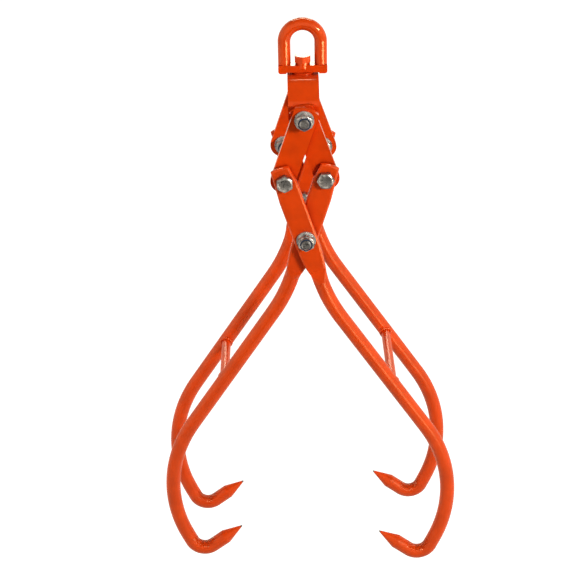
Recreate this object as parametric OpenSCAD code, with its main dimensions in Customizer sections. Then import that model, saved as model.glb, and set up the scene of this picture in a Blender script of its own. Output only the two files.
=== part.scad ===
// Four-claw log grapple that hangs from a swivel ring.
// Two pairs of curved claw arms cross at a lower pivot and close as the load is lifted.
// +Z is up, +X is to the right of the linkage, and +Y points from the front set to the rear set.
// The origin is the crown of the ring's eye, where the crane hook sits.

/* [Swivel ring] */
// Diameter of the ring's round bar
ring_bar_d = 15.5; // [12:0.5:17]
// Clear width of the eye
eye_w = 29; // [27:0.5:40]
// Clear height of the eye, from its floor to its crown
eye_h = 42.3; // [36:0.1:60]
// Thickness of the ring's base over the yoke
base_h = 9; // [7:0.5:12]
// How far the two ends of the base reach below its middle
base_drop = 1.5; // [1:0.1:1.8]
// Front-to-back depth of the base
base_depth = 16.5; // [14:0.5:20]
// Diameter of the boss on the base that the bolt's head turns on
boss_d = 18; // [16:0.5:22]
// Height of the boss on the base
boss_h = 3.2; // [2:0.1:5]

/* [Yoke] */
// Width of the yoke strap
yoke_w = 38; // [32:1:44]
// Height from the top pivot to the top face of the yoke
yoke_h = 38.4; // [34:0.1:60]
// Clear gap between the two yoke legs at the top pivot
fork_gap = 82; // [76:1:100]
// Length of the flat top of the yoke
yoke_top_l = 44; // [40:1:50]
// Radius of the round lower ends of the yoke's legs
yoke_end_r = 19.6; // [19.2:0.1:24]
// Slope of the shoulders, measured from the vertical
shoulder_a = 45; // [38:1:50]
// Inside radius of the bends
bend_r = 4; // [2:0.5:6]

/* [Linkage] */
// Thickness of the yoke strap, the links and the forged flats
plate_t = 8; // [6:0.5:9]
// Distance between the pivots of a link, and between the two pivots of an arm
pivot_l = 81; // [76:1:95]
// Half of the angle between the two links as the grapple hangs
rest_a = 18; // [16:0.5:22]
// Width of a link
link_w = 30; // [28:0.5:34]
// Reach of a link's top end past the top pivot
link_end = 14.5; // [12.5:0.5:16]
// Radius of the shallow curve across a link's top end
link_end_r = 32; // [26:1:45]
// How far the round of a link's lower end lies past its pivot
link_foot = 2; // [0:0.5:4]
// How far the middle of that round lies outwards of the pivot
link_lean = 1.9; // [0:0.1:2.5]

/* [Arms] */
// Diameter of the round bar of an arm
bar_d = 19; // [17:0.5:20]
// Width of the forged flat
flat_w = 29.5; // [28:0.5:33]
// How far the middle of the flat lies to the claw's side of the two pivots
flat_shift = -0.3; // [-1:0.1:1]
// Width across the top of the flat
flat_top_w = 23; // [18:0.5:25]
// How far the middle of the top lies to the claw's side
flat_top_shift = -0.5; // [-2:0.1:2.5]
// Reach of the flat past its upper pivot
flat_end = 19.5; // [17:0.5:22]
// Rise of the curve across the top of the flat
flat_crown = 2; // [1:0.5:3]
// How far below the upper pivot the flat starts to narrow to its top on the claw's side
claw_shoulder = 4; // [0:0.5:12]
// How far below the upper pivot the flat starts to narrow to its top on the other side
far_shoulder = 25; // [0:1:36]
// Rounding along the edges of the flat
flat_edge_r = 2.5; // [1:0.5:3]
// Reach of the flat below the lower pivot
flat_below = 50; // [44:1:60]
// Width of the flat at its lower end
flat_foot_w = 20; // [18:0.5:24]
// How far below the lower pivot the flat starts to narrow on the claw's side
claw_side_start = 2; // [0:1:12]
// How far below the lower pivot the flat starts to narrow on the other side
far_side_start = 18; // [10:1:24]
// Length over which the flat is forged out of the round bar
forge_l = 8; // [7:0.5:16]
// Straight bar below the forging
neck_l = 1.5; // [1:0.5:12]
// Radius of the outward bend
out_r = 200; // [150:5:240]
// Angle of the outward bend
out_a = 16; // [12:0.5:20]
// Length of the long straight run
run_l = 197; // [150:1:230]
// Radius of the sweep that brings the arm back in
sweep_r = 178; // [150:1:200]
// Angle of the sweep
sweep_a = 59; // [52:1:64]
// Straight shank between the sweep and the claw bend
shank_l = 12; // [6:1:20]
// Radius of the claw bend
claw_r = 19; // [16:0.5:24]
// Angle of the claw bend
claw_a = 102; // [95:1:108]
// Straight bar between the claw bend and the point
point_lead = 22; // [14:1:30]
// Length of the ground point
point_l = 28; // [20:1:36]
// Width of the blunt tip
tip_d = 1.6; // [1:0.2:3]

/* [Spacer rods] */
// Diameter of the rods that tie the front and rear arms
rod_d = 12; // [9:0.5:14]
// Place of the rod along the long straight run, as a share of that run
rod_place_share = 0.6; // [0.4:0.02:0.7]

/* [Fasteners] */
// Diameter of the pivot bolts and the swivel bolt
bolt_d = 12; // [10:0.5:12.5]
// Width across the flats of heads and nuts
hex_af = 19; // [18:0.5:20]
// Height of a pivot bolt's head
head_h = 7.5; // [6:0.5:8]
// Height of the swivel bolt's head
swivel_head_h = 7.5; // [6:0.5:10]
// Height of the hexagon of a lock nut
nut_hex_h = 9; // [8:0.5:10]
// Height of the round collar of a lock nut
nut_collar_h = 3; // [2:0.5:4]
// Diameter of the round collar of a lock nut
nut_collar_d = 17; // [16:0.5:17.5]
// Diameter of a washer
washer_d = 24; // [22:0.5:26]
// Thickness of a washer
washer_t = 2.5; // [1.5:0.5:3]
// Length of bolt past its nut
bolt_over = 2.5; // [1:0.5:4]
// Diameter of the bearing collar under the ring
collar_d = 26; // [24:0.5:27]
// Thickness of the bearing collar
collar_t = 2.2; // [2:0.1:6]

/* [Fits] */
// Radial clearance of a bolt in the holes that turn on it
turn_fit = 0.08; // [0.04:0.01:0.1]
// Radial clearance of the lower bolt in the left arms, where the loop of links and arms closes
open_fit = 0.25; // [0.2:0.05:0.4]
// Gap between flat faces that slide on each other
slide_gap = 0.2; // [0.1:0.05:0.4]

/* [Hidden] */
paint = "orangered";
zinc = "lightsteelblue";
nylon = "ivory";

// Overrun of every cut past the faces that it goes through
over = 1;
// Fine steps for everything round that turns or is seen close to
round_fn = 72;
// Steps of the round end of a forging, and of each bend of the yoke
forge_fn = 32;
bend_steps = 8;
// How far a forging is drawn in where it starts inside the flat
forge_inset = 0.1;
// How far a forging stands proud of the round bar where it ends
forge_swell = 0.1;
// How far the forging reaches up into the flat
forge_rise = 4;
// Steps of the curves along the flat's outline
foot_steps = 8;
// Swelling of the round bar in its bends, and how far a straight run reaches into a bend
bend_swell = 0.05;
bend_lap = 0.8;
// Diameter of the holes that turn on a bolt
hole_d = bolt_d + 2 * turn_fit;
// Slope of the bevel on heads and nuts, and its width on the flats, which is less under thick paint
bevel_a = 30;
bevel_w = 1;
painted_bevel_w = 0.2;
// Rounding of the base's lower corners, and of its long edges
base_corner_r = 3;
// Wall of the nut's collar round its nylon ring, and the height of that ring
insert_wall = 0.8;
insert_fill_share = 0.75;
insert_h = insert_fill_share * nut_collar_h;
// Bevel on a bolt's end, as a share of its diameter
bolt_bevel_share = 0.125;

// Levels below the crown of the eye
floor_z = -eye_h;
under_z = floor_z - base_h;
yoke_top_z = under_z - slide_gap - collar_t;
top_pivot_z = yoke_top_z - yoke_h;
lower_pivot_z = top_pivot_z - 2 * pivot_l * cos(rest_a);
side_pivot_x = pivot_l * sin(rest_a);
side_pivot_z = top_pivot_z - pivot_l * cos(rest_a);

// Middle planes of the four layers of plates, measured from the grapple's mid-plane
pitch = plate_t + slide_gap;
leg_y = fork_gap / 2 + plate_t / 2;
inner_y = leg_y + pitch;
middle_y = leg_y + 2 * pitch;
outer_y = leg_y + 3 * pitch;
// The forging lies flush with the face of its flat that slides on the other arm
bar_shift = (bar_d - plate_t) / 2 + forge_swell;
// Level of a spacer rod below the lower pivot, along the bar
rod_along = rod_place_share * run_l;

function backwards(points) = [for (i = [len(points) - 1:-1:0]) points[i]];

// A hexagon prism across flats hex_af, bevelled at its far end by a width of w on the flats
module hex_prism(h, w) {
    corner_r = hex_af / sqrt(3);
    bevel_h = (corner_r - hex_af / 2 + w) * tan(bevel_a);
    intersection() {
        rotate([0, 0, 30]) cylinder(h = h, r = corner_r, $fn = 6);
        union() {
            cylinder(h = h - bevel_h, r = corner_r + over, $fn = round_fn);
            translate([0, 0, h - bevel_h])
                cylinder(h = bevel_h, r1 = corner_r, r2 = hex_af / 2 - w, $fn = round_fn);
        }
    }
}

// A bolt along +Z whose head sits on the plane z = 0 and points to -Z
module bolt(grip, head, head_bevel) {
    mirror([0, 0, 1]) hex_prism(head, head_bevel);
    tip = bolt_bevel_share * bolt_d;
    cylinder(h = grip - tip, d = bolt_d, $fn = round_fn);
    translate([0, 0, grip - tip]) cylinder(h = tip, d1 = bolt_d, d2 = bolt_d - 2 * tip, $fn = round_fn);
}

module washer() {
    difference() {
        cylinder(h = washer_t, d = washer_d, $fn = round_fn);
        translate([0, 0, -over]) cylinder(h = washer_t + 2 * over, d = hole_d, $fn = round_fn);
    }
}

// A lock nut: the hexagon, then a round collar that holds the nylon ring
module lock_nut() {
    difference() {
        union() {
            hex_prism(nut_hex_h, bevel_w);
            cylinder(h = nut_hex_h + nut_collar_h, d = nut_collar_d, $fn = round_fn);
        }
        translate([0, 0, -over])
            cylinder(h = nut_hex_h + nut_collar_h + 2 * over, d = hole_d, $fn = round_fn);
        translate([0, 0, nut_hex_h])
            cylinder(h = nut_collar_h + over, d = nut_collar_d - 2 * insert_wall, $fn = round_fn);
    }
}

module nylon_ring() {
    translate([0, 0, nut_hex_h]) difference() {
        cylinder(h = insert_h, d = nut_collar_d - 2 * insert_wall, $fn = round_fn);
        translate([0, 0, -over]) cylinder(h = insert_h + 2 * over, d = hole_d, $fn = round_fn);
    }
}

// Draws its children at the front and, mirrored, at the rear
module both_sets() {
    children();
    mirror([0, 1, 0]) children();
}

// Turns +Z to point out of the front set, from the plane at distance y
module facing_out(x, y, z) {
    translate([x, -y, z]) rotate([90, 0, 0]) children();
}

// Turns +Z to point into the grapple, from the plane at distance y
module facing_in(x, y, z) {
    translate([x, -y, z]) rotate([-90, 0, 0]) children();
}

module swivel_ring() {
    bend_radius = (eye_w + ring_bar_d) / 2;
    arc_z = -eye_w / 2;
    outer_w = eye_w + 2 * ring_bar_d;
    base_z = under_z - base_drop;
    color(paint) difference() {
        union() {
            translate([0, 0, arc_z]) rotate([90, 0, 0]) rotate_extrude(angle = 180, $fn = round_fn)
                translate([bend_radius, 0]) circle(d = ring_bar_d, $fn = round_fn);
            for (side = [-1, 1]) translate([side * bend_radius, 0, floor_z - base_h / 2])
                cylinder(h = arc_z - floor_z + base_h / 2, d = ring_bar_d, $fn = round_fn);
            translate([0, base_depth / 2, 0]) rotate([90, 0, 0])
                linear_extrude(base_depth) base_outline(outer_w, floor_z, base_z);
            translate([0, 0, floor_z - base_h / 2])
                cylinder(h = boss_h + base_h / 2, d = boss_d, $fn = round_fn);
        }
        translate([0, 0, base_z - over])
            cylinder(h = floor_z + boss_h - base_z + 2 * over, d = hole_d, $fn = round_fn);
        translate([-yoke_w / 2 - over, -base_depth / 2 - over, base_z - over])
            cube([yoke_w + 2 * over, base_depth + 2 * over, base_drop + over]);
    }
}

// Front outline of the ring's base, with rounded lower corners
module base_outline(w, top, bottom) {
    translate([-w / 2, bottom + base_corner_r]) square([w, top - bottom - base_corner_r]);
    translate([base_corner_r - w / 2, bottom]) square([w - 2 * base_corner_r, top - bottom]);
    for (side = [-1, 1]) translate([side * (w / 2 - base_corner_r), bottom + base_corner_r])
        circle(r = base_corner_r, $fn = round_fn);
}

module swivel_bolt() {
    stack = boss_h + base_h + slide_gap + collar_t + plate_t;
    grip = stack + washer_t + nut_hex_h + nut_collar_h + bolt_over;
    color(paint) translate([0, 0, floor_z + boss_h]) mirror([0, 0, 1])
        bolt(grip, swivel_head_h, painted_bevel_w);
}

module swivel_collar() {
    color(paint) translate([0, 0, yoke_top_z]) difference() {
        cylinder(h = collar_t, d = collar_d, $fn = round_fn);
        translate([0, 0, -over]) cylinder(h = collar_t + 2 * over, d = hole_d, $fn = round_fn);
    }
}

module under_yoke() {
    translate([0, 0, yoke_top_z - plate_t]) mirror([0, 0, 1]) children();
}

module swivel_washer() {
    color(zinc) under_yoke() washer();
}

module swivel_nut() {
    color(zinc) under_yoke() translate([0, 0, washer_t]) lock_nut();
}

module swivel_nut_insert() {
    color(nylon) under_yoke() translate([0, 0, washer_t]) nylon_ring();
}

// One side of the bent strap, at distance off from its middle line, from the flat top to a leg's end.
// Each point is a place in front-to-back and height.
function strap_side(off, bottom) =
    let (r = bend_r + plate_t / 2,
         slope_l = (leg_y - yoke_top_l / 2 - r) / sin(shoulder_a),
         top_c = [yoke_top_l / 2, yoke_top_z - plate_t / 2 - r],
         leg_c = [leg_y - r, top_c[1] - slope_l * cos(shoulder_a)])
    concat([for (i = [0:bend_steps]) let (a = 90 - (90 - shoulder_a) * i / bend_steps)
                top_c + (r + off) * [cos(a), sin(a)]],
           [for (i = [0:bend_steps]) let (a = shoulder_a - shoulder_a * i / bend_steps)
                leg_c + (r + off) * [cos(a), sin(a)]],
           [[leg_y + off, bottom]]);

// The same points mirrored to the other leg, then the points themselves
function both_legs(points) = concat([for (p = backwards(points)) [-p[0], p[1]]], points);

// The strap bent to a flat top, two sloping shoulders and two upright legs with round ends
module yoke() {
    bottom = top_pivot_z - yoke_end_r;
    color(paint) difference() {
        intersection() {
            translate([-yoke_w / 2, 0, 0]) rotate([90, 0, 90]) linear_extrude(yoke_w)
                polygon(concat(both_legs(strap_side(plate_t / 2, bottom)),
                               backwards(both_legs(strap_side(-plate_t / 2, bottom)))));
            translate([0, fork_gap, 0]) rotate([90, 0, 0]) linear_extrude(2 * fork_gap) {
                translate([0, top_pivot_z]) circle(r = yoke_end_r, $fn = round_fn);
                translate([-yoke_w / 2 - over, top_pivot_z])
                    square([yoke_w + 2 * over, yoke_h + over]);
            }
        }
        translate([0, 0, yoke_top_z - plate_t - over])
            cylinder(h = plate_t + 2 * over, d = hole_d, $fn = round_fn);
        both_sets() facing_out(0, leg_y - plate_t / 2 - over, top_pivot_z)
            cylinder(h = plate_t + 2 * over, d = hole_d, $fn = round_fn);
    }
}

// Outline of a link that hangs from the origin down -Y, with a shallow top end and a round lower end
module link_outline(side) {
    intersection() {
        hull() {
            translate([-link_w / 2, 0]) square([link_w, link_end]);
            translate([side * link_lean, -pivot_l - link_foot]) circle(d = link_w, $fn = round_fn);
        }
        union() {
            translate([0, link_end - link_end_r]) circle(r = link_end_r, $fn = round_fn);
            translate([-link_w, -2 * pivot_l]) square([2 * link_w, 2 * pivot_l]);
        }
    }
}

// One link in its layer, turned to the side that it leads to
module link(side, y) {
    color(paint) translate([0, -y, top_pivot_z]) rotate([0, side * -rest_a, 0])
        translate([0, plate_t / 2, 0]) rotate([90, 0, 0]) difference() {
            linear_extrude(plate_t) link_outline(side);
            for (drop = [0, pivot_l]) translate([0, -drop, -over])
                cylinder(h = plate_t + 2 * over, d = hole_d, $fn = round_fn);
        }
}

module link_left_front() {
    link(-1, middle_y);
}

module link_left_rear() {
    mirror([0, 1, 0]) link(-1, middle_y);
}

module link_right_front() {
    link(1, inner_y);
}

module link_right_rear() {
    mirror([0, 1, 0]) link(1, inner_y);
}

// A straight length of round bar that runs along -Z, with the rest of the bar after it
module bar_run(l, top_lap) {
    translate([0, 0, -l - bend_lap])
        cylinder(h = l + top_lap + bend_lap, d = bar_d, $fn = round_fn);
    translate([0, 0, -l]) children();
}

// A bend of round bar, outwards for a positive angle, with the rest of the bar after it
module bar_bend(r, a) {
    if (a > 0) {
        translate([r, 0, 0]) rotate([90, 0, 0]) rotate([0, 0, 180])
            rotate_extrude(angle = a, $fn = round_fn)
            translate([r, 0]) circle(r = bar_d / 2 + bend_swell, $fn = round_fn);
        translate([r - r * cos(a), 0, -r * sin(a)]) rotate([0, -a, 0]) children();
    } else {
        mirror([1, 0, 0]) bar_bend(r, -a) mirror([1, 0, 0]) children();
    }
}

// The straight end of a claw with its ground point
module claw_point() {
    translate([0, 0, -point_lead]) cylinder(h = point_lead + bend_lap, d = bar_d, $fn = round_fn);
    translate([0, 0, -point_lead - point_l])
        cylinder(h = point_l, d1 = tip_d, d2 = bar_d, $fn = round_fn);
}

// One side of the flat, which leaves the straight at start and closes in on the foot
function foot_side(wide, foot, start) =
    [for (i = [0:foot_steps]) let (share = i / foot_steps)
        [wide + (foot - wide) * share * share, -start - (flat_below - start) * share]];

// Points across the top of the flat, from the claw's side to the far side
function crown_points(top_z) =
    [for (i = [0:foot_steps]) let (share = 1 - 2 * i / foot_steps)
        [flat_top_shift + flat_top_w / 2 * share, top_z + flat_crown * (1 - share * share)]];

// Front outline of the forged flat, with its lower pivot at the origin and its upper pivot above it
module flat_outline() {
    claw_x = flat_shift + flat_w / 2;
    far_x = flat_shift - flat_w / 2;
    polygon(concat(crown_points(pivot_l + flat_end - flat_crown),
                   [[far_x, pivot_l - far_shoulder]],
                   foot_side(far_x, -flat_foot_w / 2, far_side_start),
                   backwards(foot_side(claw_x, flat_foot_w / 2, claw_side_start)),
                   [[claw_x, pivot_l - claw_shoulder]]));
}

// One slice of the flat, drawn in all round by the inset
module flat_slice(inset, t) {
    translate([0, t / 2, 0]) rotate([90, 0, 0]) linear_extrude(t) offset(delta = -inset) flat_outline();
}

// The forged flat, rounded along all its edges in two steps
module forged_flat() {
    corner = flat_edge_r * (1 - cos(45));
    hull() {
        flat_slice(0, plate_t - 2 * flat_edge_r);
        flat_slice(corner, plate_t - 2 * corner);
        flat_slice(flat_edge_r, plate_t);
    }
}

// The transition from the foot of the flat to the round bar
module forging(bar_y) {
    hull() {
        translate([-flat_foot_w / 2 + forge_inset, forge_inset - plate_t / 2, -flat_below + forge_rise])
            cube([flat_foot_w - 2 * forge_inset, plate_t - 2 * forge_inset, over]);
        translate([0, bar_y, -flat_below - forge_l - over])
            cylinder(h = over, r = bar_d / 2 + forge_swell, $fn = forge_fn);
    }
}

// One arm, with its lower pivot at the origin, its upper pivot above and its claw bending to +X.
// The bar stands off the middle of the flat by bar_y, and fit is the clearance in the lower hole.
module arm(bar_y, fit) {
    difference() {
        union() {
            forged_flat();
            forging(bar_y);
            translate([0, bar_y, -flat_below - forge_l])
                bar_run(neck_l, -over / 2) bar_bend(out_r, out_a) bar_run(run_l, bend_lap)
                bar_bend(sweep_r, -sweep_a) bar_run(shank_l, bend_lap) bar_bend(claw_r, -claw_a)
                claw_point();
        }
        translate([0, plate_t / 2 + over, pivot_l]) rotate([90, 0, 0])
            cylinder(h = plate_t + 2 * over, d = hole_d, $fn = round_fn);
        translate([0, plate_t / 2 + over, 0]) rotate([90, 0, 0])
            cylinder(h = plate_t + 2 * over, d = bolt_d + 2 * fit, $fn = round_fn);
    }
}

// The right-hand claw arm of the front set, in the outer layer, with its bar standing out
module right_arm() {
    color(paint) translate([0, -outer_y, lower_pivot_z]) rotate([0, -rest_a, 0])
        arm(-bar_shift, turn_fit);
}

// The left-hand claw arm of the front set, in the middle layer, with its bar standing in
module left_arm() {
    color(paint) translate([0, -middle_y, lower_pivot_z]) mirror([1, 0, 0])
        rotate([0, -rest_a, 0]) arm(bar_shift, open_fit);
}

module arm_right_front() {
    right_arm();
}

module arm_right_rear() {
    mirror([0, 1, 0]) right_arm();
}

module arm_left_front() {
    left_arm();
}

module arm_left_rear() {
    mirror([0, 1, 0]) left_arm();
}

// A rod between two arms of a pair, coped at both ends to sit on the round bars
module spacer_rod(bar_plane) {
    difference() {
        rotate([90, 0, 0]) cylinder(h = 2 * bar_plane, d = rod_d, center = true, $fn = round_fn);
        both_sets() translate([0, -bar_plane, -rod_d])
            cylinder(h = 2 * rod_d, d = bar_d, $fn = round_fn);
    }
}

// Puts its children on the long straight run of an arm, with -Z along the bar
module on_run() {
    x = out_r - out_r * cos(out_a);
    z = -flat_below - forge_l - neck_l - out_r * sin(out_a);
    rotate([0, -rest_a, 0]) translate([x, 0, z]) rotate([0, -out_a, 0])
        translate([0, 0, -rod_along]) children();
}

module spacer_rod_right() {
    color(paint) translate([0, 0, lower_pivot_z]) on_run() spacer_rod(outer_y + bar_shift);
}

module spacer_rod_left() {
    color(paint) translate([0, 0, lower_pivot_z]) mirror([1, 0, 0]) on_run()
        spacer_rod(middle_y - bar_shift);
}

// Length of a pivot bolt through plates that fill the stack
function pivot_grip(stack) = stack + 2 * slide_gap + washer_t + nut_hex_h + nut_collar_h + bolt_over;

// Planes under the nuts of the top and lower pivots, on the outside of the linkage
top_nut_y = middle_y + plate_t / 2 + slide_gap;
lower_nut_y = outer_y + plate_t / 2 + slide_gap;
// Planes under the nuts of the left and right pivots, on the inside of the linkage
left_nut_y = middle_y - plate_t / 2 - slide_gap;
right_nut_y = inner_y - plate_t / 2 - slide_gap;
// Stacks of plates that the bolts go through
top_stack = middle_y - leg_y + plate_t;
side_stack = pitch + plate_t;

// A bolt whose head is inside and whose nut is outside
module bolt_from_inside(x, z, nut_y, stack) {
    color(zinc) both_sets() facing_out(x, nut_y - stack - 2 * slide_gap, z)
        bolt(pivot_grip(stack), head_h, bevel_w);
}

// A bolt whose head is outside, turned by the angle that it was tightened to, and whose nut is inside
module bolt_from_outside(x, z, nut_y, stack, turn) {
    color(zinc) both_sets() facing_in(x, nut_y + stack + 2 * slide_gap, z)
        rotate([0, 0, turn]) bolt(pivot_grip(stack), head_h, bevel_w);
}

module top_pivot_bolts() {
    bolt_from_inside(0, top_pivot_z, top_nut_y, top_stack);
}

module top_pivot_washers() {
    color(zinc) both_sets() facing_out(0, top_nut_y, top_pivot_z) washer();
}

module top_pivot_nuts() {
    color(zinc) both_sets() facing_out(0, top_nut_y + washer_t, top_pivot_z) lock_nut();
}

module top_pivot_nut_inserts() {
    color(nylon) both_sets() facing_out(0, top_nut_y + washer_t, top_pivot_z) nylon_ring();
}

module left_pivot_bolts() {
    bolt_from_outside(-side_pivot_x, side_pivot_z, left_nut_y, side_stack, 0);
}

module left_pivot_washers() {
    color(zinc) both_sets() facing_in(-side_pivot_x, left_nut_y, side_pivot_z) washer();
}

module left_pivot_nuts() {
    color(zinc) both_sets() facing_in(-side_pivot_x, left_nut_y - washer_t, side_pivot_z) lock_nut();
}

module left_pivot_nut_inserts() {
    color(nylon) both_sets() facing_in(-side_pivot_x, left_nut_y - washer_t, side_pivot_z) nylon_ring();
}

module right_pivot_bolts() {
    bolt_from_outside(side_pivot_x, side_pivot_z, right_nut_y, side_stack, 30);
}

module right_pivot_washers() {
    color(zinc) both_sets() facing_in(side_pivot_x, right_nut_y, side_pivot_z) washer();
}

module right_pivot_nuts() {
    color(zinc) both_sets() facing_in(side_pivot_x, right_nut_y - washer_t, side_pivot_z) lock_nut();
}

module right_pivot_nut_inserts() {
    color(nylon) both_sets() facing_in(side_pivot_x, right_nut_y - washer_t, side_pivot_z) nylon_ring();
}

module lower_pivot_bolts() {
    bolt_from_inside(0, lower_pivot_z, lower_nut_y, side_stack);
}

module lower_pivot_washers() {
    color(zinc) both_sets() facing_out(0, lower_nut_y, lower_pivot_z) washer();
}

module lower_pivot_nuts() {
    color(zinc) both_sets() facing_out(0, lower_nut_y + washer_t, lower_pivot_z) lock_nut();
}

module lower_pivot_nut_inserts() {
    color(nylon) both_sets() facing_out(0, lower_nut_y + washer_t, lower_pivot_z) nylon_ring();
}

swivel_ring();
swivel_bolt();
swivel_collar();
swivel_washer();
swivel_nut();
swivel_nut_insert();
yoke();
link_left_front();
link_left_rear();
link_right_front();
link_right_rear();
arm_right_front();
arm_right_rear();
arm_left_front();
arm_left_rear();
spacer_rod_right();
spacer_rod_left();
top_pivot_bolts();
top_pivot_washers();
top_pivot_nuts();
top_pivot_nut_inserts();
left_pivot_bolts();
left_pivot_washers();
left_pivot_nuts();
left_pivot_nut_inserts();
right_pivot_bolts();
right_pivot_washers();
right_pivot_nuts();
right_pivot_nut_inserts();
lower_pivot_bolts();
lower_pivot_washers();
lower_pivot_nuts();
lower_pivot_nut_inserts();
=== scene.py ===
import math

import bmesh
import bpy
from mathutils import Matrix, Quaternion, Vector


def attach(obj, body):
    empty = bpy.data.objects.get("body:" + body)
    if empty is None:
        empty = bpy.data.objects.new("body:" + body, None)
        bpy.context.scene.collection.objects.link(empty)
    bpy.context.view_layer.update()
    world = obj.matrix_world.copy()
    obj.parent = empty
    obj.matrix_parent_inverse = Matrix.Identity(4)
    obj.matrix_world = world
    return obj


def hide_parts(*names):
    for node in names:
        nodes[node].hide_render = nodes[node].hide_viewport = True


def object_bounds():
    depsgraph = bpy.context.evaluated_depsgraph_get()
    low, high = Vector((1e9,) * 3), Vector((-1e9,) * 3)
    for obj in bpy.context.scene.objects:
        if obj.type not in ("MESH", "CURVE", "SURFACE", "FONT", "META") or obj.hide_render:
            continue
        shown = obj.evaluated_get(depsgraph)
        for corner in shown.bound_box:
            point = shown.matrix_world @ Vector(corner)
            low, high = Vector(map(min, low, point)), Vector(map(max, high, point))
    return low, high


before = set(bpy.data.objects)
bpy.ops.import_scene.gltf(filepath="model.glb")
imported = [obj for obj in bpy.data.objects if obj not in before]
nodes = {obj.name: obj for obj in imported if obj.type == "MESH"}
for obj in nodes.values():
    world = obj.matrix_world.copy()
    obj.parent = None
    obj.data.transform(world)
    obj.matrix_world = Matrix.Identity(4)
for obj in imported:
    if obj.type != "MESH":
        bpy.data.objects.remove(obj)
cad_low, cad_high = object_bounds()

# Swivel eye: a U of round bar forged in one with its short base bar and the boss that the bolt turns on.
# Drop-forged steel, shot-blasted, then powder-coated with the rest of the grapple.
# The coat has flowed over the forging, so it keeps only the broad unevenness of the die.
ORANGE = "#F64B08"
ORANGE_THIN = "#E04208"
# The deep red below is painted shade, put into recesses in place of the shade that falls there.
ORANGE_PAINTED_SHADE = "#9C1602"
GLOSS_TINT = (1, 0.8, 0.5, 1)
COAT_IOR = 1.5
COAT_SHINE = 0.5
THIN_PATCH_MM = 25
THIN_FROM = 0.35
THIN_FULLY = 0.7
RECESS_REACH = 0.012
RECESS_SAMPLES = 8
RECESS_SHUT = 0.35
RECESS_OPEN = 0.8
PAINTED_SHADE_SHARE = 0.85
PAINTED_SHADE_SHINE = 0.1
COAT_PEEL_MM = 2.2
COAT_PEEL_DEPTH_MM = 0.03
FORGED_ROUGHNESS = 0.11
DIE_MARK_MM = 14
DIE_MARK_DEPTH_MM = 0.5


def hex_colour(code):
    """Turns an sRGB hex value into Blender's linear colour."""
    channels = [int(code[i:i + 2], 16) / 255 for i in (1, 3, 5)]
    return [c / 12.92 if c <= 0.04045 else ((c + 0.055) / 1.055) ** 2.4 for c in channels] + [1]


def new_material(name):
    """Gives a node material, its tree and its shader."""
    material = bpy.data.materials.new(name)
    material.use_nodes = True
    tree = material.node_tree
    return material, tree, tree.nodes["Principled BSDF"]


def add_node(tree, kind, settings):
    """Adds a node. Each setting is a property, or an input by its name or number, and a socket is linked."""
    node = tree.nodes.new(kind)
    for name, value in settings.items():
        if isinstance(value, bpy.types.NodeSocket):
            tree.links.new(value, node.inputs[name])
        elif isinstance(name, int) or name[0].isupper():
            node.inputs[name].default_value = value
        else:
            setattr(node, name, value)
    return node


def maths(tree, operation, *terms):
    """The result of one operation on numbers or sockets."""
    return add_node(tree, "ShaderNodeMath", {"operation": operation, **dict(enumerate(terms))}).outputs[0]


def ramp(tree, value, low, high, kind="LINEAR"):
    """Runs from one result to another as a value rises, where low and high are each (value, result)."""
    settings = {"interpolation_type": kind, "Value": value, "From Min": low[0], "To Min": low[1],
                "From Max": high[0], "To Max": high[1]}
    return add_node(tree, "ShaderNodeMapRange", settings).outputs[0]


def blend(tree, share, first, second):
    """A colour that goes from the first to the second as the share rises."""
    return add_node(tree, "ShaderNodeMix", {"data_type": "RGBA", 0: share, 6: first, 7: second}).outputs[2]


def per_metre(size_mm):
    """Scale of a pattern on Object coordinates whose features are size_mm apart."""
    return 1000 / size_mm


def mottle(tree, place, size_mm, detail):
    """An uneven pattern, from 0 to 1, whose patches are size_mm apart."""
    settings = {"Vector": place, "Scale": per_metre(size_mm), "Detail": detail}
    return add_node(tree, "ShaderNodeTexNoise", settings).outputs[0]


def object_place(tree):
    """The place on the piece, in metres, that patterns follow."""
    return add_node(tree, "ShaderNodeTexCoord", {}).outputs["Object"]


def powder_coat(name, roughness):
    """Thermosetting polyester powder, sprayed on by charge and baked: a glossy skin over one solid colour.
    It shows fine orange peel in its highlights and runs a little thin in patches. In recesses it carries
    painted
    shade: a deep red colour and dimmer reflections, the more closely other surfaces shut it in.
    Gives the material, its tree, its shader, the place on the piece and the height of the peel, so that
    marks of the steel below can be added."""
    coat, tree, shader = new_material(name)
    place = object_place(tree)
    shader.inputs["Roughness"].default_value = roughness
    shader.inputs["IOR"].default_value = COAT_IOR
    shader.inputs["Specular Tint"].default_value = GLOSS_TINT
    thin = ramp(tree, mottle(tree, place, THIN_PATCH_MM, 3), (THIN_FROM, 0), (THIN_FULLY, 1))
    tone = blend(tree, thin, hex_colour(ORANGE), hex_colour(ORANGE_THIN))
    # Painted shade: near other surfaces the colour is darkened to deep red and the reflections are dimmed.
    reach = {"samples": RECESS_SAMPLES, "Distance": RECESS_REACH}
    open_to = add_node(tree, "ShaderNodeAmbientOcclusion", reach).outputs["AO"]
    painted_shade = ramp(tree, open_to, (RECESS_SHUT, PAINTED_SHADE_SHARE), (RECESS_OPEN, 0))
    sprayed = blend(tree, painted_shade, tone, hex_colour(ORANGE_PAINTED_SHADE))
    tree.links.new(sprayed, shader.inputs["Base Color"])
    shine = ramp(tree, painted_shade, (0, COAT_SHINE), (1, PAINTED_SHADE_SHINE))
    tree.links.new(shine, shader.inputs["Specular IOR Level"])
    return coat, tree, shader, place, mottle(tree, place, COAT_PEEL_MM, 1)


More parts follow.
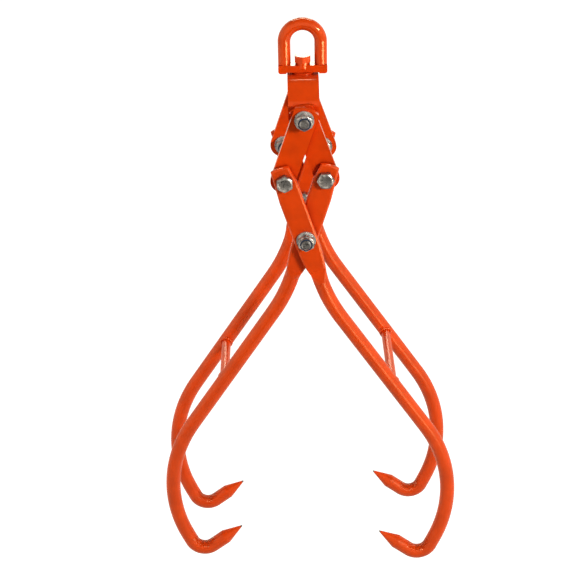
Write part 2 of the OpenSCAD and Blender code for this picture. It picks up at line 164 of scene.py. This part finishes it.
def raise_surface(tree, shader, layers):
    """Chains one bump per layer of (height, depth in mm) and puts the last one on the shader."""
    below = None
    for height, depth_mm in layers:
        bump = {"Height": height, "Strength": 1, "Distance": depth_mm / 1000}
        if below:
            bump["Normal"] = below
        below = add_node(tree, "ShaderNodeBump", bump).outputs[0]
    tree.links.new(below, shader.inputs["Normal"])


def finish_with(material, *names):
    """Puts one material on CAD nodes."""
    for name in names:
        nodes[name].data.materials.clear()
        nodes[name].data.materials.append(material)


forged_coat, tree, shader, place, peel = powder_coat("orange powder coat on drop-forged steel",
                                                     FORGED_ROUGHNESS)
die_marks = mottle(tree, place, DIE_MARK_MM, 2)
raise_surface(tree, shader, [(die_marks, DIE_MARK_DEPTH_MM), (peel, COAT_PEEL_DEPTH_MM)])
finish_with(forged_coat, "swivel_ring")

# Swivel bolt and its bearing collar: a hexagon bolt that stands up in the floor of the eye.
# Both were fitted before the coat was sprayed, so they carry the same orange as the forging.
# The machined steel below the coat is flat, and only the peel of the coat is left to see.
MACHINED_ROUGHNESS = 0.2

machined_coat, tree, shader, place, peel = powder_coat("orange powder coat on machined steel",
                                                       MACHINED_ROUGHNESS)
raise_surface(tree, shader, [(peel, COAT_PEEL_DEPTH_MM)])
finish_with(machined_coat, "swivel_bolt", "swivel_collar")

# Washer and lock nut under the yoke, on the end of the swivel bolt.
# Carbon steel, zinc-plated and clear passivated after it was formed.
# The plating gives a bluish grey with bright edges, a fine grain, and soft cloudy patches.
ZINC = "#B2B5BB"
ZINC_CLOUD = "#68686D"
ZINC_PAINTED_LIGHT = "#E4E6EA"
ZINC_CLOUD_MM = 5
CLOUD_FROM = 0.38
CLOUD_FULLY = 0.62
ZINC_GRAIN_MM = 0.5
ZINC_GRAIN_DEPTH_MM = 0.02
ZINC_ROUGHNESS = 0.2
CLOUD_ROUGHNESS = 0.42
HEADED_LEAST_METAL = 0.8
STAMPED_LEAST_METAL = 0.4


def zinc_plating(name, clear, cloud, least_metal):
    """Zinc plate that goes from a clear to a cloudy tone, where the passivation film is thick.
    The cloudy patches are duller, and as little metallic as the last value says."""
    material, tree, shader = new_material(name)
    place = object_place(tree)
    cloudy = ramp(tree, mottle(tree, place, ZINC_CLOUD_MM, 5), (CLOUD_FROM, 0), (CLOUD_FULLY, 1))
    tree.links.new(blend(tree, cloudy, hex_colour(clear), hex_colour(cloud)), shader.inputs["Base Color"])
    tree.links.new(ramp(tree, cloudy, (0, ZINC_ROUGHNESS), (1, CLOUD_ROUGHNESS)), shader.inputs["Roughness"])
    tree.links.new(ramp(tree, cloudy, (0, 1), (1, least_metal)), shader.inputs["Metallic"])
    raise_surface(tree, shader, [(mottle(tree, place, ZINC_GRAIN_MM, 1), ZINC_GRAIN_DEPTH_MM)])
    return material


zinc_plate = zinc_plating("zinc plating on cold-headed steel, clear passivated", ZINC, ZINC_CLOUD,
                          HEADED_LEAST_METAL)
# The second zinc is a lighter, less metallic copy: painted light for the washers, which sit in shade.
zinc_painted_lighter = zinc_plating("zinc plating on stamped steel, painted lighter", ZINC_PAINTED_LIGHT, ZINC,
                          STAMPED_LEAST_METAL)
finish_with(zinc_painted_lighter, "swivel_washer")
finish_with(zinc_plate, "swivel_nut")

# The nylon ring that the lock nut's collar holds and the thread cuts into.
# Injection-moulded polyamide, dyed blue.
# It is slightly waxy, so its highlights are wide and dull beside the metal.
NYLON_BLUE = "#1D3B66"
NYLON_DEEP = "#16294A"
NYLON_ROUGHNESS = 0.42
NYLON_IOR = 1.53
WAX_MM = 3
WAX_DEPTH_MM = 0.03

nylon, tree, shader = new_material("blue polyamide, injection moulded")
shader.inputs["Roughness"].default_value = NYLON_ROUGHNESS
shader.inputs["IOR"].default_value = NYLON_IOR
wax = mottle(tree, object_place(tree), WAX_MM, 2)
tree.links.new(blend(tree, wax, hex_colour(NYLON_BLUE), hex_colour(NYLON_DEEP)), shader.inputs["Base Color"])
raise_surface(tree, shader, [(wax, WAX_DEPTH_MM)])
finish_with(nylon, "swivel_nut_insert")

# Yoke: hot-rolled flat bar, cut, drilled and bent to a flat top, two shoulders and two legs.
# It hangs on the swivel bolt and carries the linkage between its legs.
# The rolled faces are smooth, and its sheared edges show fine lines across the thickness under the coat.
ROLLED_ROUGHNESS = 0.17
ROLL_MARK_MM = 9
ROLL_MARK_DEPTH_MM = 0.12
CUT_LINE_MM = 0.9
CUT_LINE_SQUEEZE = 0.04
SHEAR_LINE_DEPTH_MM = 0.05


def squareness(tree, axis):
    """How squarely a face looks along an axis of the piece, from 0 to 1."""
    way = add_node(tree, "ShaderNodeTexCoord", {}).outputs["Normal"]
    return maths(tree, "ABSOLUTE", add_node(tree, "ShaderNodeSeparateXYZ", {0: way}).outputs[axis])


def raise_rolled(tree, shader, place, peel, edge, line_depth_mm):
    """Raises the broad marks of the rolls, and lines across the thickness where a face is a cut edge."""
    roll_marks = mottle(tree, place, ROLL_MARK_MM, 2)
    across = add_node(tree, "ShaderNodeMapping", {"Vector": place, "Scale": (1, CUT_LINE_SQUEEZE, 1)})
    lines = maths(tree, "MULTIPLY", mottle(tree, across.outputs[0], CUT_LINE_MM, 1), edge)
    steel = [(roll_marks, ROLL_MARK_DEPTH_MM), (lines, line_depth_mm)]
    raise_surface(tree, shader, steel + [(peel, COAT_PEEL_DEPTH_MM)])


rolled_coat, tree, shader, place, peel = powder_coat("orange powder coat on hot-rolled flat bar",
                                                     ROLLED_ROUGHNESS)
raise_rolled(tree, shader, place, peel, squareness(tree, "X"), SHEAR_LINE_DEPTH_MM)
finish_with(rolled_coat, "yoke")

# Links: four flats, flame-cut from plate with a shallow curve at the top end and a round lower end.
# They are drilled for the pivots and turn between the yoke's legs and the arms.
# Their faces are as rolled, and all their cut edges show the lines of the cut.
FLAME_LINE_DEPTH_MM = 0.08

plate_coat, tree, shader, place, peel = powder_coat("orange powder coat on flame-cut plate",
                                                    ROLLED_ROUGHNESS)
cut_edge = maths(tree, "SUBTRACT", 1, squareness(tree, "Y"))
raise_rolled(tree, shader, place, peel, cut_edge, FLAME_LINE_DEPTH_MM)
finish_with(plate_coat, "link_left_front", "link_left_rear", "link_right_front", "link_right_rear")

# Claw arms: 19 mm round bar, hammered flat at the top, bent out, swept in and bent tight to a ground point.
# The hammer leaves shallow facets on the flat, and the inside of the claw bend is puckered.
# The coat is rubbed off the very tip of each point, where bare steel shows.
ARM_TILT = math.radians(18)
LOWER_PIVOT_Z = -0.24617
FORGED_LENGTH = 0.058
NECK_LENGTH = 0.0015
OUT_BEND = (0.2, math.radians(16))
LONG_RUN = 0.197
SWEEP_BEND = (0.178, math.radians(-59))
SHANK_LENGTH = 0.012
CLAW_BEND = (0.019, math.radians(-102))
POINT_LENGTH = 0.05
BAR_ROUGHNESS = 0.27
HAMMER_MARK_MM = 11
HAMMER_MARK_DEPTH_MM = 0.25
HAMMERED_BELOW_PIVOT = 0.02
PUCKERS = 34
PUCKER_DEPTH_MM = 0.5
PUCKER_WANDER = 0.35
PUCKER_WANDER_MM = 9
PUCKERED_WITHIN = 0.0105
SMOOTH_BEYOND = 0.0165
BARE_STEEL = "#6E6762"
BARE_ROUGHNESS = 0.45
BARE_TIP = 0.002
CHIP_MM = 2.5
CHIP_WANDER = 0.003


def straight(place, heading, length):
    """Follows the bar straight on, from a place (x, z) with a heading measured from straight down to +X."""
    return (place[0] + length * math.sin(heading), place[1] - length * math.cos(heading))


def bend_centre(place, heading, radius, turn):
    """Centre of the bend that starts at a place, on the side that the bar turns to."""
    side = math.copysign(radius, turn)
    return (place[0] + side * math.cos(heading), place[1] + side * math.sin(heading))


def bent(place, heading, radius, turn):
    """Follows the bar round a bend of a radius, by the angle that it turns, to its new place and heading."""
    centre = bend_centre(place, heading, radius, turn)
    side = math.copysign(radius, turn)
    heading += turn
    return (centre[0] - side * math.cos(heading), centre[1] - side * math.sin(heading)), heading


bar_start = straight((0, LOWER_PIVOT_Z), ARM_TILT, FORGED_LENGTH + NECK_LENGTH)
run_start, run_heading = bent(bar_start, ARM_TILT, *OUT_BEND)
run_end = straight(run_start, run_heading, LONG_RUN)
shank_start, shank_heading = bent(run_end, run_heading, *SWEEP_BEND)
shank_end = straight(shank_start, shank_heading, SHANK_LENGTH)
claw_centre = bend_centre(shank_end, shank_heading, *CLAW_BEND)
claw_end, claw_heading = bent(shank_end, shank_heading, *CLAW_BEND)
tip = straight(claw_end, claw_heading, POINT_LENGTH)

bar_coat, tree, shader, place, peel = powder_coat("orange powder coat on hot-bent bar, ground points bare",
                                                  BAR_ROUGHNESS)
spot = add_node(tree, "ShaderNodeSeparateXYZ", {0: place})
height = spot.outputs["Z"]
either_side = maths(tree, "ABSOLUTE", spot.outputs["X"])
from_front = add_node(tree, "ShaderNodeCombineXYZ", {0: either_side, 2: height}).outputs[0]
hammered = add_node(tree, "ShaderNodeTexVoronoi", {"feature": "SMOOTH_F1", "Scale": per_metre(HAMMER_MARK_MM),
                                                   "Smoothness": 1, "Vector": place}).outputs[0]
on_flat = ramp(tree, height, (LOWER_PIVOT_Z - FORGED_LENGTH, 0), (LOWER_PIVOT_Z - HAMMERED_BELOW_PIVOT, 1),
               "SMOOTHSTEP")
hammer_marks = maths(tree, "MULTIPLY", hammered, on_flat)
from_claw = add_node(tree, "ShaderNodeVectorMath", {"operation": "SUBTRACT", 0: from_front,
                                                    1: (claw_centre[0], 0, claw_centre[1])}).outputs[0]
claw_way = add_node(tree, "ShaderNodeSeparateXYZ", {0: from_claw})
round_claw = maths(tree, "ARCTAN2", claw_way.outputs["Z"], claw_way.outputs["X"])
uneven = mottle(tree, place, PUCKER_WANDER_MM, 1)
folds = maths(tree, "MULTIPLY", maths(tree, "MULTIPLY_ADD", uneven, PUCKER_WANDER, round_claw), PUCKERS)
claw_reach = add_node(tree, "ShaderNodeVectorMath", {"operation": "LENGTH", 0: from_claw}).outputs["Value"]
inside = ramp(tree, claw_reach, (PUCKERED_WITHIN, 1), (SMOOTH_BEYOND, 0), "SMOOTHSTEP")
puckered = maths(tree, "MULTIPLY", maths(tree, "SINE", folds), inside)
raise_surface(tree, shader, [(hammer_marks, HAMMER_MARK_DEPTH_MM), (puckered, PUCKER_DEPTH_MM),
                             (peel, COAT_PEEL_DEPTH_MM)])
from_tip = add_node(tree, "ShaderNodeVectorMath", {"operation": "DISTANCE", 0: from_front,
                                                   1: (tip[0], 0, tip[1])}).outputs["Value"]
chipped = mottle(tree, place, CHIP_MM, 4)
edge_of_coat = maths(tree, "MULTIPLY_ADD", chipped, CHIP_WANDER, BARE_TIP - CHIP_WANDER / 2)
bare = maths(tree, "LESS_THAN", from_tip, edge_of_coat)
coat_colour = shader.inputs["Base Color"].links[0].from_socket
tree.links.new(blend(tree, bare, coat_colour, hex_colour(BARE_STEEL)), shader.inputs["Base Color"])
tree.links.new(bare, shader.inputs["Metallic"])
tree.links.new(ramp(tree, bare, (0, BAR_ROUGHNESS), (1, BARE_ROUGHNESS)), shader.inputs["Roughness"])
finish_with(bar_coat, "arm_right_front", "arm_right_rear", "arm_left_front", "arm_left_rear")

# Spacer rods: 12 mm round bar between the front and rear arm of each pair, coped to the bars.
# They hold the pair square, so that both claws take hold together, and are coated after welding.
# The coat lies thin on the drawn rod and is duller than on the bars.
ROD_ROUGHNESS = 0.32

rod_coat, tree, shader, place, peel = powder_coat("orange powder coat on cold-drawn rod", ROD_ROUGHNESS)
raise_surface(tree, shader, [(peel, COAT_PEEL_DEPTH_MM)])
finish_with(rod_coat, "spacer_rod_right", "spacer_rod_left")

# Weld beads: one fillet run all round each end of a spacer rod, on the curve where it meets the bar.
# Steel laid down by hand, so its width and its ripples wander a little, under the same coat.
# Each bead is swept round the joint as a thick curve whose radius rises and falls with the ripples.
ROD_RADIUS = 0.006
BAR_RADIUS = 0.0095
ROD_SHARE = 0.6
RIGHT_BAR_Y = 0.0752
LEFT_BAR_Y = 0.0558
BEAD_RADIUS = 0.0021
BEAD_OFF_ROD = 0.0007
BEAD_OFF_BAR = 0.0004
BEAD_POINTS = 120
BEAD_ROUNDNESS = 4
RIPPLES = 21
RIPPLE_LOW = 0.9
RIPPLE_RISE = 0.16
SLOW_WANDER = 0.07
QUICK_WANDER = 0.05
WELD_ROUGHNESS = 0.26
SPATTER_MM = 1.5
SPATTER_DEPTH_MM = 0.12

weld_coat, tree, shader, place, peel = powder_coat("orange powder coat on weld metal", WELD_ROUGHNESS)
spatter = mottle(tree, place, SPATTER_MM, 2)
raise_surface(tree, shader, [(spatter, SPATTER_DEPTH_MM), (peel, COAT_PEEL_DEPTH_MM)])

rod_centre = straight(run_start, run_heading, ROD_SHARE * LONG_RUN)
rod_ends = {
    "weld_right_front": (1, -1, RIGHT_BAR_Y, "right_arms"),
    "weld_right_rear": (1, 1, RIGHT_BAR_Y, "right_arms"),
    "weld_left_front": (-1, -1, LEFT_BAR_Y, "left_arms"),
    "weld_left_rear": (-1, 1, LEFT_BAR_Y, "left_arms"),
}
for number, (name, (side, set_side, bar_y, body)) in enumerate(rod_ends.items()):
    bpy.ops.object.select_all(action="DESELECT")
    path = bpy.data.curves.new(name, "CURVE")
    path.dimensions = "3D"
    path.bevel_depth = BEAD_RADIUS
    path.bevel_resolution = BEAD_ROUNDNESS
    run = path.splines.new("POLY")
    run.points.add(BEAD_POINTS - 1)
    run.use_cyclic_u = True
    for i in range(BEAD_POINTS):
        turn = 2 * math.pi * i / BEAD_POINTS
        wander = 1 + SLOW_WANDER * math.sin(3 * turn + number)
        wander += QUICK_WANDER * math.sin(5 * turn + 2 * number)
        reach = ROD_RADIUS + BEAD_OFF_ROD * wander
        across = reach * math.cos(turn)
        down = reach * math.sin(turn)
        x = rod_centre[0] + across * math.cos(run_heading) + down * math.sin(run_heading)
        z = rod_centre[1] + across * math.sin(run_heading) - down * math.cos(run_heading)
        y = bar_y - math.sqrt(BAR_RADIUS ** 2 - across ** 2) - BEAD_OFF_BAR
        run.points[i].co = (side * x, set_side * y, z, 1)
        run.points[i].radius = wander * (RIPPLE_LOW + RIPPLE_RISE * abs(math.sin(RIPPLES * turn / 2)))
    bead = bpy.data.objects.new(name, path)
    bpy.context.collection.objects.link(bead)
    bead.select_set(True)
    bpy.context.view_layer.objects.active = bead
    bpy.ops.object.convert(target="MESH")
    bpy.ops.object.mode_set(mode="EDIT")
    bpy.ops.mesh.select_all(action="SELECT")
    bpy.ops.mesh.normals_make_consistent(inside=False)
    bpy.ops.object.mode_set(mode="OBJECT")
    bpy.ops.object.shade_smooth()
    bead.data.materials.append(weld_coat)
    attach(bead, body)

# Pivot bolts: one M12 hexagon bolt in each pivot of the front and rear sets, in place of the plain CAD bolts.
# Cold-headed steel with rolled threads, zinc-plated: each head is chamfered and a little dished.
# They are turned forms whose radius is cut by the hexagon and the thread, so the chamfer leaves true arcs.
BOLT_RADIUS = 0.006
THREAD_PITCH = 0.00175
THREAD_DEPTH = 0.0009
THREADED = 0.008
THREAD_STEPS = 8
END_CHAMFER = 0.0015
HEX_AF = 0.019
PAST_CORNERS = 0.011
DISHED_FACE = ((0.0004, 0.0062), (0.0001, 0.0074), (0, 0.0079), (0.0002, 0.0084))
CHAMFER_START = 0.0002
CHAMFER_RADIUS = 0.0085
CHAMFER_FALL = 0.0003
CHAMFER_RISE = 0.0005
CHAMFER_RINGS = 5
HEAD_HEIGHT = 0.0075
HEAD_EDGE = 0.0001
TURN_SIDES = 72
SHARP_FROM = math.radians(28)
HALF_FLAT = math.pi / 6
BODIES = {"top": "yoke", "left": "left_links", "right": "right_links", "lower": "right_arms"}
HEADS_INSIDE = ("top", "lower")
TWISTED_HEADS = ("right",)


def hexagon(turn, along):
    """Distance from the axis to the side of a hexagon that has a corner straight up."""
    return HEX_AF / 2 / math.cos((turn + HALF_FLAT) % (2 * HALF_FLAT) - HALF_FLAT)


def thread(turn, along):
    """Distance from the axis to the surface of the thread."""
    phase = (along / THREAD_PITCH - turn / (2 * math.pi)) % 1
    return BOLT_RADIUS - THREAD_DEPTH * (1 - abs(2 * phase - 1))


def turned(name, node, outwards, rings, hollow, twist):
    """Builds the front and rear copies of a turned form on the axis of a CAD node that it replaces.
    Each ring has its distance along the axis, its greatest radius, and the form that cuts it, if any.
    The hand of the turn keeps both threads right-handed, though the sets mirror each other."""
    points = [v.co for v in nodes[node].data.vertices]
    x = (min(p.x for p in points) + max(p.x for p in points)) / 2
    z = (min(p.z for p in points) + max(p.z for p in points)) / 2
    near = min(abs(p.y) for p in points)
    far = max(abs(p.y) for p in points)
    form = bmesh.new()
    for set_side in (-1, 1):
        hand = -set_side if outwards else set_side
        loops = []
        for along, limit, cut in rings:
            y = set_side * (near + along if outwards else far - along)
            loop = []
            for i in range(TURN_SIDES):
                turn = 2 * math.pi * i / TURN_SIDES
                reach = min(limit, cut(hand * turn, along)) if cut else limit
                sideways = reach * math.cos(turn + twist)
                upwards = reach * math.sin(turn + twist)
                loop.append(form.verts.new((x + sideways, y, z + upwards)))
            loops.append(loop)
        pairs = list(zip(loops, loops[1:]))
        if hollow:
            pairs.append((loops[-1], loops[0]))
        else:
            form.faces.new(loops[0])
            form.faces.new(loops[-1])
        for lower, upper in pairs:
            for i in range(TURN_SIDES):
                j = (i + 1) % TURN_SIDES
                form.faces.new((lower[i], lower[j], upper[j], upper[i]))
    bmesh.ops.recalc_face_normals(form, faces=form.faces)
    mesh = bpy.data.meshes.new(name)
    form.to_mesh(mesh)
    form.free()
    piece = bpy.data.objects.new(name, mesh)
    bpy.context.collection.objects.link(piece)
    bpy.ops.object.select_all(action="DESELECT")
    piece.select_set(True)
    bpy.context.view_layer.objects.active = piece
    bpy.ops.object.shade_smooth_by_angle(angle=SHARP_FROM)
    mesh.materials.append(zinc_plate)
    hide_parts(node)
    return piece


head = [(along, limit, None) for along, limit in DISHED_FACE]
for ring in range(1, CHAMFER_RINGS + 1):
    head.append((CHAMFER_START + CHAMFER_FALL * ring, CHAMFER_RADIUS + CHAMFER_RISE * ring, hexagon))
head.append((HEAD_HEIGHT - HEAD_EDGE, PAST_CORNERS, hexagon))
head.append((HEAD_HEIGHT, PAST_CORNERS - 2 * HEAD_EDGE, hexagon))
head.append((HEAD_HEIGHT, BOLT_RADIUS, None))
for pivot, body in BODIES.items():
    node = f"{pivot}_pivot_bolts"
    reach = [abs(v.co.y) for v in nodes[node].data.vertices]
    length = max(reach) - min(reach)
    steps = math.ceil(THREADED / THREAD_PITCH * THREAD_STEPS)
    shank = [(length - THREADED, BOLT_RADIUS, None)]
    for i in range(1, steps + 1):
        along = length - THREADED + THREADED * i / steps
        shank.append((along, BOLT_RADIUS - max(0, along - length + END_CHAMFER), thread))
    twist = HALF_FLAT if pivot in TWISTED_HEADS else 0
    bolts = turned(f"{pivot}_hex_bolts", node, pivot in HEADS_INSIDE, head + shank, False, twist)
    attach(bolts, body)

# Pivot lock nuts: a hexagon with a thin round collar that holds the nylon ring, in place of the CAD nuts.
# Forged and tapped steel, zinc-plated: the collar is rolled in over the ring, which shows inside its lip.
# The hexagon has its small chamfer at the washer and its large one below the collar.
NUT_BORE = 0.0061
SEAT_CHAMFER = ((0, 0.0092), (0.0003, 0.0102), (0.0006, PAST_CORNERS))
LARGE_CHAMFER = 0.0078
COLLAR_SIDE = ((0.0092, 0.0086), (0.0108, 0.0085))
ROLLED_LIP = ((0.0114, 0.0084), (0.0118, 0.0082), (0.01195, 0.008), (0.0119, 0.0078), (0.0117, 0.0076),
              (0.0115, 0.0075))
LIP_RADIUS = 0.0075
RING_RADIUS = 0.00772
RING_TOP = 0.0113
RING_SEAT = 0.009

nut = [(along, limit, hexagon) for along, limit in SEAT_CHAMFER]
for ring in range(CHAMFER_RINGS):
    nut.append((LARGE_CHAMFER + CHAMFER_FALL * ring, PAST_CORNERS - CHAMFER_RISE * ring, hexagon))
ring_groove = ((RING_TOP, LIP_RADIUS), (RING_TOP, RING_RADIUS), (RING_SEAT, RING_RADIUS))
bore = ((RING_SEAT, NUT_BORE), (0, NUT_BORE))
nut += [(along, limit, None) for along, limit in COLLAR_SIDE + ROLLED_LIP + ring_groove + bore]
for pivot, body in BODIES.items():
    nuts = turned(f"{pivot}_lock_nuts", f"{pivot}_pivot_nuts", pivot in HEADS_INSIDE, nut, True, 0)
    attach(nuts, body)

# Pivot washers and nylon rings: plain round washers, stamped and zinc-plated, one under each lock nut.
# They keep the CAD's forms, as do the blue rings in the collars.
# The washers take the lighter copy of the zinc: painted light that lifts them out of the links' shade.
finish_with(zinc_painted_lighter, *[f"{pivot}_pivot_washers" for pivot in BODIES])
finish_with(nylon, *[f"{pivot}_pivot_nut_inserts" for pivot in BODIES])

# Studio floor: a wide sweep of white paper, a little below the claws.
# It is matt, and lifted to plain white where the camera sees it. Reflections find it warm and dimmer.
FLOOR_GAP = 0.06
FLOOR_Z = cad_low[2] - FLOOR_GAP
FLOOR_SIDE = 24
FLOOR_BACK = 6
PAPER_GREY = "#A8A8A8"
PAPER_LIFT = 0.94
PAPER_IN_GLOSS = 0.68
WHITE = (1, 1, 1, 1)
WARM_WHITE = (1, 0.86, 0.66, 1)


def stage_sheet(name, width, depth, place, aim, material, only_in_gloss):
    """Lays a flat sheet face up for the stage, turned by aim about Z. It may show in reflections only."""
    bpy.ops.object.select_all(action="DESELECT")
    bpy.ops.mesh.primitive_plane_add(size=1, location=place, rotation=(0, 0, aim))
    sheet = bpy.context.object
    sheet.name = name
    sheet.scale = (width, depth, 1)
    bpy.ops.object.transform_apply(location=True, rotation=True, scale=True)
    sheet.data.materials.append(material)
    if only_in_gloss:
        sheet.visible_camera = False
        sheet.visible_diffuse = False
        sheet.visible_shadow = False


def ray_kinds(tree):
    """Whether a ray comes from the camera, and whether it comes off gloss or through glass, as 0 or 1."""
    ray = add_node(tree, "ShaderNodeLightPath", {})
    mirrored = maths(tree, "MAXIMUM", ray.outputs["Is Glossy Ray"], ray.outputs["Is Transmission Ray"])
    return ray.outputs["Is Camera Ray"], mirrored


paper, tree, shader = new_material("white paper sweep, matt")
shader.inputs["Base Color"].default_value = hex_colour(PAPER_GREY)
shader.inputs["Roughness"].default_value = 1
shader.inputs["Specular IOR Level"].default_value = 0
seen, mirrored = ray_kinds(tree)
strength = maths(tree, "MULTIPLY_ADD", mirrored, PAPER_IN_GLOSS, ramp(tree, seen, (0, 0), (1, PAPER_LIFT)))
glow = add_node(tree, "ShaderNodeEmission", {"Color": blend(tree, mirrored, WHITE, WARM_WHITE),
                                             "Strength": strength})
both = add_node(tree, "ShaderNodeAddShader", {0: shader.outputs[0], 1: glow.outputs[0]})
tree.links.new(both.outputs[0], tree.nodes["Material Output"].inputs["Surface"])
stage_sheet("floor", FLOOR_SIDE, FLOOR_SIDE, (0, FLOOR_BACK, FLOOR_Z), 0, paper, False)

# Black card on the floor in front, just below the camera's view, as a photographer lays one for gloss paint.
# Only reflections see it: it keeps the flat faces saturated and leaves bright edges along the round bars.
CARD_BLACK = "#0A0A0A"
CARD_WIDTH = 1.0
CARD_DEPTH = 1.8
CARD_LIFT = 0.005
CARD_PLACE = (-0.02, -1.72, FLOOR_Z + CARD_LIFT)

felt, tree, shader = new_material("black felt, matt")
shader.inputs["Base Color"].default_value = hex_colour(CARD_BLACK)
shader.inputs["Roughness"].default_value = 1
stage_sheet("card", CARD_WIDTH, CARD_DEPTH, CARD_PLACE, 0, felt, True)

# Softboxes: a key in front on the right, a large one at each side, and one behind, all a little warm.
# The two at the sides are left out of reflections, which keeps pale sheets off the gloss paint.
# The one above is a rim light that only reflections see: it draws the thin line along the yoke's bend.
LAMP_TINT = (1, 0.92, 0.76)
AIM_Z = -0.35
LOOK_DOWN = math.radians(26)


def softbox(name, direction, distance, width, height, level, seen_in_gloss):
    """A rectangular softbox that faces the linkage.
    It lights a face turned to it to the level, where 1 is white."""
    lamp = bpy.data.lights.new(name, "AREA")
    lamp.shape = "RECTANGLE"
    lamp.size = width
    lamp.size_y = height
    lamp.energy = level * (math.pi * distance) ** 2
    lamp.color = LAMP_TINT
    box = bpy.data.objects.new(name, lamp)
    bpy.context.collection.objects.link(box)
    length = math.sqrt(sum(c * c for c in direction))
    away = [c / length for c in direction]
    box.location = [c * distance + offset for c, offset in zip(away, (0, 0, AIM_Z))]
    outwards = math.hypot(away[0], away[1])
    box.rotation_euler = (math.atan2(outwards, away[2]), 0, math.atan2(away[0], -away[1]))
    box.visible_glossy = seen_in_gloss
    return box


softbox("key", (0.68, -0.72, 0.42), distance=2.6, width=0.5, height=0.5, level=0.68, seen_in_gloss=True)
softbox("right", (1, -0.15, 0.25), distance=2.2, width=1.2, height=2.0, level=0.22, seen_in_gloss=False)
softbox("left", (-1, -0.15, 0.25), distance=2.2, width=1.2, height=2.0, level=0.5, seen_in_gloss=False)
softbox("behind", (0, math.cos(LOOK_DOWN), math.sin(LOOK_DOWN)), distance=3, width=1.6, height=0.5,
        level=0.27, seen_in_gloss=True)
rim_light = softbox("above", (0, 0.42, 1), distance=1.5, width=1.2, height=0.3, level=0.6, seen_in_gloss=True)
rim_light.visible_diffuse = False

# Reflector cloth on the floor, far out to the right of the camera, which only reflections see.
# It draws the long bright streak down each upright leg of the eye.
STRIP_AIM = math.radians(-49)
STRIP_DISTANCE = 2.4
STRIP_WIDTH = 0.9
STRIP_DEPTH = 1.1
STRIP_TINT = (1, 0.82, 0.55, 1)
STRIP_STRENGTH = 20
STRIP_LIFT = 0.01

foil, tree, shader = new_material("reflector cloth, lit")
shine = add_node(tree, "ShaderNodeEmission", {"Color": STRIP_TINT, "Strength": STRIP_STRENGTH})
tree.links.new(shine.outputs[0], tree.nodes["Material Output"].inputs["Surface"])
strip_x = STRIP_DISTANCE * math.cos(STRIP_AIM)
strip_y = STRIP_DISTANCE * math.sin(STRIP_AIM)
strip_place = (strip_x, strip_y, FLOOR_Z + STRIP_LIFT)
stage_sheet("strip", STRIP_WIDTH, STRIP_DEPTH, strip_place, STRIP_AIM, foil, True)

# Room: plain white to the camera. Diffuse light comes from low down more than from the ceiling.
# Reflections find it warm, bright to above eye height and dim overhead.
# Each value is how far a direction points up, and how bright the room is that way.
GLOSS_WALLS = (0.45, 1.25)
GLOSS_CEILING = (0.8, 0.2)
DIFFUSE_FLOOR = (-0.3, 0.56)
DIFFUSE_CEILING = (0.35, 0.11)

world = bpy.data.worlds.new("white studio")
bpy.context.scene.world = world
world.use_nodes = True
tree = world.node_tree
room = tree.nodes["Background"]
way = add_node(tree, "ShaderNodeTexCoord", {}).outputs["Generated"]
upwards = add_node(tree, "ShaderNodeSeparateXYZ", {0: way}).outputs["Z"]
in_gloss = ramp(tree, upwards, GLOSS_WALLS, GLOSS_CEILING)
in_diffuse = ramp(tree, upwards, DIFFUSE_FLOOR, DIFFUSE_CEILING)
seen, mirrored = ray_kinds(tree)
tree.links.new(blend(tree, mirrored, WHITE, WARM_WHITE), room.inputs["Color"])
lit = add_node(tree, "ShaderNodeMix", {"data_type": "FLOAT", 0: mirrored, 2: in_diffuse, 3: in_gloss})
shown = add_node(tree, "ShaderNodeMix", {"data_type": "FLOAT", 0: seen, 2: lit.outputs[0], 3: 1})
tree.links.new(shown.outputs[0], room.inputs["Strength"])

# Camera: a 100 mm lens that looks down at the linkage from in front, as in the photograph.
# It is rolled a little, because the grapple in the photograph leans to the right.
ROLL = math.radians(-1.2)
TARGET = (-0.0236, 0, -0.347)
DISTANCE = 2.088
LENS_MM = 100
SENSOR_MM = 36

lens = bpy.data.cameras.new("camera")
lens.lens = LENS_MM
lens.sensor_width = SENSOR_MM
camera = bpy.data.objects.new("camera", lens)
bpy.context.collection.objects.link(camera)
back = DISTANCE * math.cos(LOOK_DOWN)
up = DISTANCE * math.sin(LOOK_DOWN)
camera.location = (TARGET[0], TARGET[1] - back, TARGET[2] + up)
camera.rotation_mode = "QUATERNION"
camera.rotation_quaternion = Quaternion((1, 0, 0), math.pi / 2 - LOOK_DOWN) @ Quaternion((0, 0, 1), ROLL)
bpy.context.scene.camera = camera
bpy.context.scene.view_settings.view_transform = "Standard"
